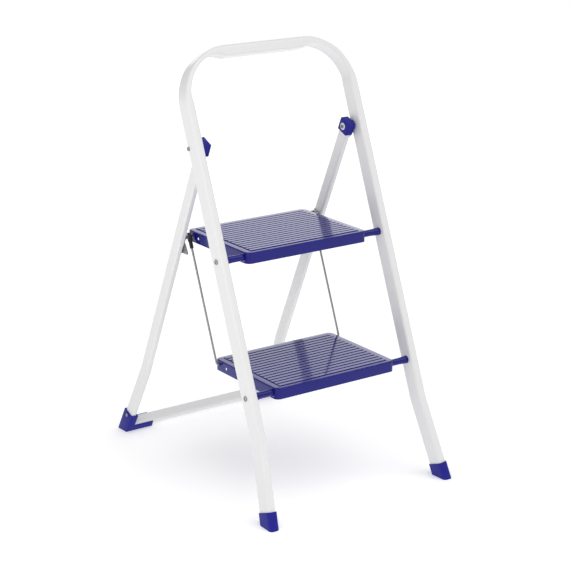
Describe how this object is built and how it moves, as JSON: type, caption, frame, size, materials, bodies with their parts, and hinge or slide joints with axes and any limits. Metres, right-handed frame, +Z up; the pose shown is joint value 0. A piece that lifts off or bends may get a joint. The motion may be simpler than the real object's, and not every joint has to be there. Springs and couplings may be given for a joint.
{
  "type": "folding step stool",
  "caption": "Folding step stool: a tall tube hoop with hand rail carries pressed steps, a hinged rear leg frame and link rods that fold the steps together.",
  "frame": {"origin": "on the floor, at the centre of the open stool's footprint box", "axes": "+Z up; the user climbs from the -Y side towards +Y, where the rear frame stands; +X is to the right of a person climbing"},
  "size_m": [0.4208, 0.5908, 0.8123],
  "materials": {
    "white_paint": "glossy white powder coat on steel tube",
    "blue_paint": "glossy dark blue paint on pressed steel",
    "blue_plastic": "moulded blue plastic, slightly glossy",
    "black_plastic": "moulded black plastic",
    "zinc": "zinc-plated steel, satin"
  },
  "bodies": {
    "front": {"front_frame": "white_paint", "front_foot_left": "blue_plastic", "front_foot_right": "blue_plastic", "upper_axle": "zinc", "lower_axle": "zinc", "upper_axle_rivet_left": "zinc", "upper_axle_rivet_right": "zinc", "lower_axle_rivet_left": "zinc", "lower_axle_rivet_right": "zinc", "hinge_rivet_left": "zinc", "hinge_rivet_right": "zinc"},
    "rear": {"rear_frame": "white_paint", "rear_foot_left": "blue_plastic", "rear_foot_right": "blue_plastic", "foot_rivet_left": "zinc", "foot_rivet_right": "zinc", "hinge_block_left": "blue_plastic", "hinge_block_right": "blue_plastic", "hinge_spacer_left": "blue_plastic", "hinge_spacer_right": "blue_plastic", "hinge_washer_left": "zinc", "hinge_washer_right": "zinc", "bracket_left": "zinc", "bracket_right": "zinc", "bracket_rivet_upper_left": "zinc", "bracket_rivet_upper_right": "zinc", "bracket_rivet_lower_left": "zinc", "bracket_rivet_lower_right": "zinc"},
    "upper": {"upper_step": "blue_paint", "step_pin_left": "zinc", "step_pin_right": "zinc"},
    "lower": {"lower_step": "blue_paint"},
    "links": {"link_rod_left": "zinc", "link_rod_right": "zinc", "rod_end_left": "black_plastic", "rod_end_right": "black_plastic", "rod_nut_left": "zinc", "rod_nut_right": "zinc"}
  },
  "joints": [
    {"name": "rear_frame_fold", "type": "hinge", "parent": "front", "child": "rear", "pos_m": [0, -0.01044, 0.64], "axis": [-1, 0, 0], "range_deg": [0, 43.4]},
    {"name": "step_fold", "type": "hinge", "parent": "front", "child": "upper", "pos_m": [0, -0.09804, 0.449], "axis": [1, 0, 0], "range_deg": [0, 64]},
    {"name": "lower_step_fold", "type": "hinge", "parent": "front", "child": "lower", "pos_m": [0, -0.18962, 0.2165], "axis": [1, 0, 0], "range_deg": [0, 64]},
    {"name": "link_fold", "type": "hinge", "parent": "upper", "child": "links", "pos_m": [0, 0.07296, 0.4528], "axis": [1, 0, 0], "range_deg": [-64, 0]}
  ],
  "couplings": [
    {"joint": "lower_step_fold", "follows": "step_fold", "ratio": 1},
    {"joint": "link_fold", "follows": "step_fold", "ratio": -1}
  ]
}
